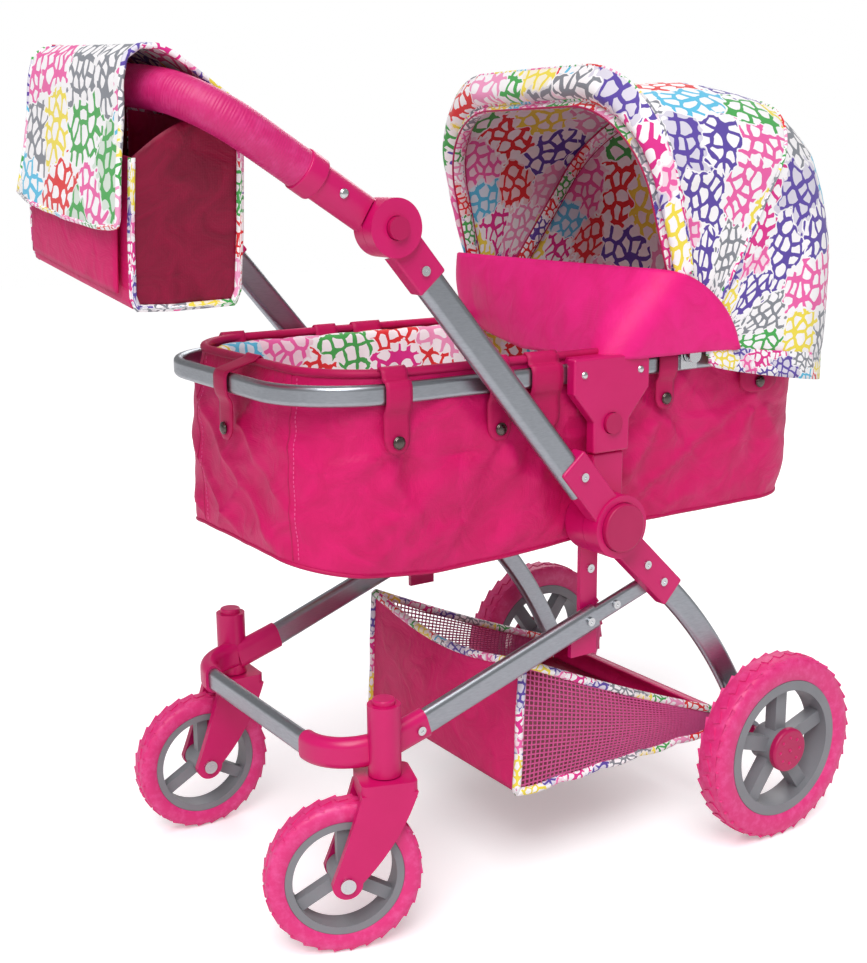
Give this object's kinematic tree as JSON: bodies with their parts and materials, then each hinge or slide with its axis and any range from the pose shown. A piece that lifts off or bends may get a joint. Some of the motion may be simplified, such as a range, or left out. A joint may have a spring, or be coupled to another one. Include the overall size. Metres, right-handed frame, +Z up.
{
  "type": "doll stroller",
  "caption": "Doll stroller with a lift-off bassinet and folding hood, spoked wheels, swivel casters, folding push arms, tilting handle, hanging bag and under-seat basket.",
  "frame": {"origin": "on the floor, under the middle of the stroller's box", "axes": "+Z up, +X away from the person who pushes (towards the large wheels and the head of the bassinet), +Y to the left side"},
  "size_m": [0.6879, 0.389, 0.6891],
  "materials": {
    "tube_aluminium": "satin anodised",
    "pink_plastic": "moulded, semi gloss",
    "dark_pink_plastic": "moulded, semi gloss",
    "pink_tyre": "moulded, satin",
    "steel": "zinc plated",
    "grey_plastic": "moulded, satin",
    "grip_rubber": "ribbed soft grip, satin",
    "pink_cloth": "plain weave",
    "printed_cloth": "printed plain weave",
    "liner_cloth": "padded"
  },
  "bodies": {
    "chassis": {"front_leg_left": "tube_aluminium", "front_leg_right": "tube_aluminium", "leg_inserts": "tube_aluminium", "front_cross_bar": "tube_aluminium", "elbow_left": "pink_plastic", "elbow_right": "pink_plastic", "housing_caps": "dark_pink_plastic", "rear_leg_left": "tube_aluminium", "rear_leg_right": "tube_aluminium", "rear_axle": "steel", "axle_tube": "pink_plastic", "hub_body_left": "pink_plastic", "hub_body_right": "pink_plastic", "hub_struts": "pink_plastic", "chassis_screws": "steel", "basket": "pink_cloth"},
    "push_frame": {"push_arm_left": "tube_aluminium", "push_arm_right": "tube_aluminium", "arm_hub_left": "pink_plastic", "arm_hub_right": "pink_plastic", "hinge_base_left": "pink_plastic", "hinge_base_right": "pink_plastic", "arm_screws": "steel"},
    "handle": {"hinge_head_left": "pink_plastic", "hinge_head_right": "pink_plastic", "handle_bow": "tube_aluminium", "handle_grip": "grip_rubber", "bag_body": "pink_cloth", "bag_flap": "printed_cloth"},
    "bassinet": {"bassinet_rim": "tube_aluminium", "side_bracket_left": "pink_plastic", "side_bracket_right": "pink_plastic", "bassinet_tub": "pink_cloth", "mattress": "liner_cloth", "apron": "pink_cloth", "hood_pivots": "steel"},
    "hood_mid": {"hood_bow_middle": "steel", "canopy_rear": "printed_cloth"},
    "hood_front": {"hood_bow_front": "steel", "canopy_front": "printed_cloth"},
    "rear_wheel_left": {"rear_rim_left": "grey_plastic", "rear_tyre_left": "pink_tyre", "rear_hub_cap_left": "dark_pink_plastic"},
    "caster_left": {"caster_fork_left": "pink_plastic", "caster_bolt_left": "steel"},
    "front_wheel_left": {"front_rim_left": "grey_plastic", "front_tyre_left": "pink_tyre"},
    "hub_button_left": {"hub_button_left": "dark_pink_plastic"},
    "height_button_left": {"height_button_left": "dark_pink_plastic"},
    "bracket_button_left": {"bracket_button_left": "dark_pink_plastic"},
    "rear_wheel_right": {"rear_rim_right": "grey_plastic", "rear_tyre_right": "pink_tyre", "rear_hub_cap_right": "dark_pink_plastic"},
    "caster_right": {"caster_fork_right": "pink_plastic", "caster_bolt_right": "steel"},
    "front_wheel_right": {"front_rim_right": "grey_plastic", "front_tyre_right": "pink_tyre"},
    "hub_button_right": {"hub_button_right": "dark_pink_plastic"},
    "height_button_right": {"height_button_right": "dark_pink_plastic"},
    "bracket_button_right": {"bracket_button_right": "dark_pink_plastic"}
  },
  "joints": [
    {"name": "rear_wheel_spin_left", "type": "hinge", "parent": "chassis", "child": "rear_wheel_left", "pos_m": [0.2253, 0.1755, 0.085], "axis": [0, 1, 0], "continuous": true},
    {"name": "caster_swivel_left", "type": "hinge", "parent": "chassis", "child": "caster_left", "pos_m": [-0.1617, 0.135, 0.16], "axis": [0, 0, 1], "continuous": true},
    {"name": "front_wheel_spin_left", "type": "hinge", "parent": "caster_left", "child": "front_wheel_left", "pos_m": [-0.19638, 0.13621, 0.0625], "axis": [0.0349, 0.9994, 0], "continuous": true},
    {"name": "rear_wheel_spin_right", "type": "hinge", "parent": "chassis", "child": "rear_wheel_right", "pos_m": [0.2253, -0.1755, 0.085], "axis": [0, 1, 0], "continuous": true},
    {"name": "caster_swivel_right", "type": "hinge", "parent": "chassis", "child": "caster_right", "pos_m": [-0.1617, -0.135, 0.16], "axis": [0, 0, 1], "continuous": true},
    {"name": "front_wheel_spin_right", "type": "hinge", "parent": "caster_right", "child": "front_wheel_right", "pos_m": [-0.19451, -0.1237, 0.0625], "axis": [0.3256, 0.9455, 0], "continuous": true},
    {"name": "push_arm_fold", "type": "hinge", "parent": "chassis", "child": "push_frame", "pos_m": [0.0453, 0, 0.313], "axis": [0, -1, 0], "range_deg": [0, 64]},
    {"name": "handle_tilt", "type": "hinge", "parent": "push_frame", "child": "handle", "pos_m": [-0.1657, 0, 0.557], "axis": [0, 1, 0], "range_deg": [-30, 45]},
    {"name": "bassinet_lift", "type": "slide", "parent": "chassis", "child": "bassinet", "axis": [0, 0, 1], "range_m": [0, 0.12]},
    {"name": "hood_mid_fold", "type": "hinge", "parent": "bassinet", "child": "hood_mid", "pos_m": [0.1353, 0, 0.443], "axis": [0, 1, 0], "range_deg": [0, 40], "deforming": ["canopy_rear"]},
    {"name": "hood_front_fold", "type": "hinge", "parent": "hood_mid", "child": "hood_front", "pos_m": [0.1353, 0, 0.443], "axis": [0, 1, 0], "range_deg": [0, 40], "deforming": ["canopy_front"]},
    {"name": "hub_button_push_left", "type": "slide", "parent": "push_frame", "child": "hub_button_left", "axis": [0, -1, 0], "range_m": [0, 0.003], "stiffness_N_per_m": 400},
    {"name": "height_button_push_left", "type": "slide", "parent": "push_frame", "child": "height_button_left", "axis": [0, -1, 0], "range_m": [0, 0.003], "stiffness_N_per_m": 300},
    {"name": "bracket_button_push_left", "type": "slide", "parent": "bassinet", "child": "bracket_button_left", "axis": [0, -1, 0], "range_m": [0, 0.0025], "stiffness_N_per_m": 300},
    {"name": "hub_button_push_right", "type": "slide", "parent": "push_frame", "child": "hub_button_right", "axis": [0, 1, 0], "range_m": [0, 0.003], "stiffness_N_per_m": 400},
    {"name": "height_button_push_right", "type": "slide", "parent": "push_frame", "child": "height_button_right", "axis": [0, 1, 0], "range_m": [0, 0.003], "stiffness_N_per_m": 300},
    {"name": "bracket_button_push_right", "type": "slide", "parent": "bassinet", "child": "bracket_button_right", "axis": [0, 1, 0], "range_m": [0, 0.0025], "stiffness_N_per_m": 300}
  ],
  "couplings": [
    {"joint": "hood_front_fold", "follows": "hood_mid_fold", "ratio": 1}
  ]
}
